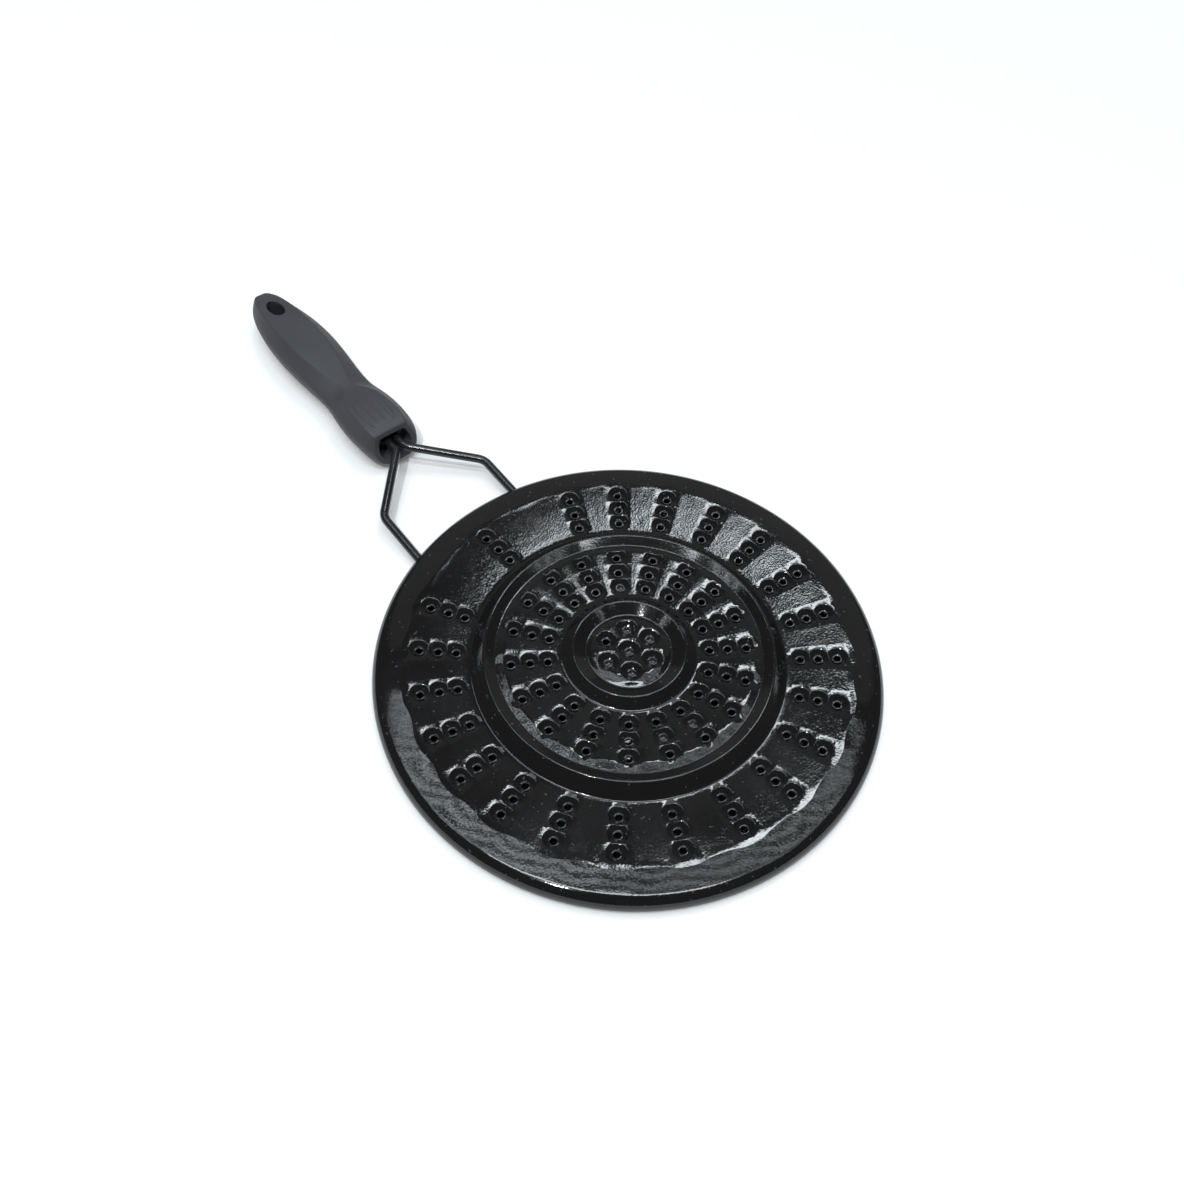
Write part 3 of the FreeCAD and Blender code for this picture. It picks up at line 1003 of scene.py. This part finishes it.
class DIFFUSER_OT_plate(bpy.types.Operator):
    """Add the pressed, pierced and enamelled top plate, and the films of enamel in its bridged holes"""

    bl_idname = "diffuser.plate"
    bl_label = "Top Plate"

    def execute(self, context):
        sizes = context.scene.diffuser_plate
        bm, holes = plate_skin(sizes, False)
        under, _ = plate_skin(sizes, True)
        join_meshes(bm, under)
        edge_verts = [vert for vert in bm.verts if vert.is_boundary]
        bmesh.ops.remove_doubles(bm, verts=edge_verts, dist=2 * SAME_POINT)
        bmesh.ops.recalc_face_normals(bm, faces=bm.faces[:])
        material = enamel_finish(context.scene.diffuser_finish)
        finish_piece("pierced_plate", bm, material, "enamelled_steel", "top_plate")
        finish_piece("enamel_films", film_discs(sizes, holes), material, "enamelled_steel")
        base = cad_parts["base_plate"]
        base.data.materials.clear()
        base.data.materials.append(material)
        return {"FINISHED"}


class DIFFUSER_OT_fork(bpy.types.Operator):
    """Add the bent wire fork"""

    bl_idname = "diffuser.fork"
    bl_label = "Wire Fork"

    def execute(self, context):
        bm = fork_wire(context.scene.diffuser_handle)
        material = wire_finish(context.scene.diffuser_finish)
        finish_piece("bent_wire", bm, material, "fork_wire", "wire_fork")
        return {"FINISHED"}


class DIFFUSER_OT_handle(bpy.types.Operator):
    """Add the moulded handle"""

    bl_idname = "diffuser.handle"
    bl_label = "Handle"

    def execute(self, context):
        bm = handle_body(context.scene.diffuser_handle)
        bmesh.ops.transform(bm, matrix=handle_frame(), verts=bm.verts[:])
        material = plastic_finish(context.scene.diffuser_finish)
        piece = finish_piece("moulded_handle", bm, material, "handle_plastic", "handle")
        soften(piece, SMOOTH_LEVELS)
        context.view_layer.update()
        pad = thumb_pad(context.scene.diffuser_handle, piece)
        finish_piece("thumb_pad", pad, material, "handle_plastic")
        return {"FINISHED"}


class DIFFUSER_OT_stage(bpy.types.Operator):
    """Add the floor, the lamps, the world and the camera"""

    bl_idname = "diffuser.stage"
    bl_label = "Studio"

    def execute(self, context):
        bm = bmesh.new()
        bmesh.ops.create_grid(bm, x_segments=1, y_segments=1, size=FLOOR_HALF_SIZE)
        mesh = bpy.data.meshes.new("floor")
        bm.to_mesh(mesh)
        bm.free()
        floor = bpy.data.objects.new("floor", mesh)
        mesh.materials.append(floor_finish(context.scene.diffuser_finish))
        context.scene.collection.objects.link(floor)
        ceiling_tubes()
        ceiling_lamp("ceiling_light", *STRIP_LIGHT)
        ceiling_lamp("ceiling_window", *WINDOW_LIGHT)
        facing_lamp("far_wall", *FAR_WALL)
        facing_lamp("front_lamp", *FRONT_LAMP)
        world = bpy.data.worlds.new("Studio")
        world.use_nodes = True
        background = world.node_tree.nodes["Background"]
        background.inputs["Color"].default_value = (1, 1, 1, 1)
        background.inputs["Strength"].default_value = WORLD_LIGHT
        context.scene.world = world
        camera_at(CAMERA_PLACE, CAMERA_TURN, CAMERA_LENS)
        context.scene.view_settings.view_transform = "Standard"
        return {"FINISHED"}


class DIFFUSER_PT_panel(bpy.types.Panel):
    """Sizes, colours and pieces of the heat diffuser"""

    bl_idname = "DIFFUSER_PT_panel"
    bl_label = "Heat Diffuser"
    bl_space_type = "VIEW_3D"
    bl_region_type = "UI"
    bl_category = "Diffuser"

    def draw(self, context):
        for group in (getattr(context.scene, name) for name in GROUPS):
            box = self.layout.box()
            for name in group.bl_rna.properties.keys():
                if name not in ("rna_type", "name"):
                    box.prop(group, name)
        for operator in OPERATORS:
            self.layout.operator(operator.bl_idname)


GROUPS = {
    "diffuser_plate": DIFFUSER_PG_plate,
    "diffuser_handle": DIFFUSER_PG_handle,
    "diffuser_finish": DIFFUSER_PG_finish,
}
OPERATORS = (DIFFUSER_OT_plate, DIFFUSER_OT_fork, DIFFUSER_OT_handle, DIFFUSER_OT_stage)


def register():
    for name, group in GROUPS.items():
        bpy.utils.register_class(group)
        setattr(bpy.types.Scene, name, bpy.props.PointerProperty(type=group))
    for operator in OPERATORS:
        bpy.utils.register_class(operator)
    bpy.utils.register_class(DIFFUSER_PT_panel)


def unregister():
    bpy.utils.unregister_class(DIFFUSER_PT_panel)
    for operator in reversed(OPERATORS):
        bpy.utils.unregister_class(operator)
    for name, group in reversed(GROUPS.items()):
        delattr(bpy.types.Scene, name)
        bpy.utils.unregister_class(group)


def corners(bounds):
    """Lowest and highest corner as plain lists."""
    return [list(corner) for corner in bounds]


def main():
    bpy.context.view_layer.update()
    register()
    bpy.ops.diffuser.plate()
    bpy.ops.diffuser.fork()
    bpy.ops.diffuser.handle()
    bpy.ops.diffuser.stage()


if __name__ == "__main__":
    main()
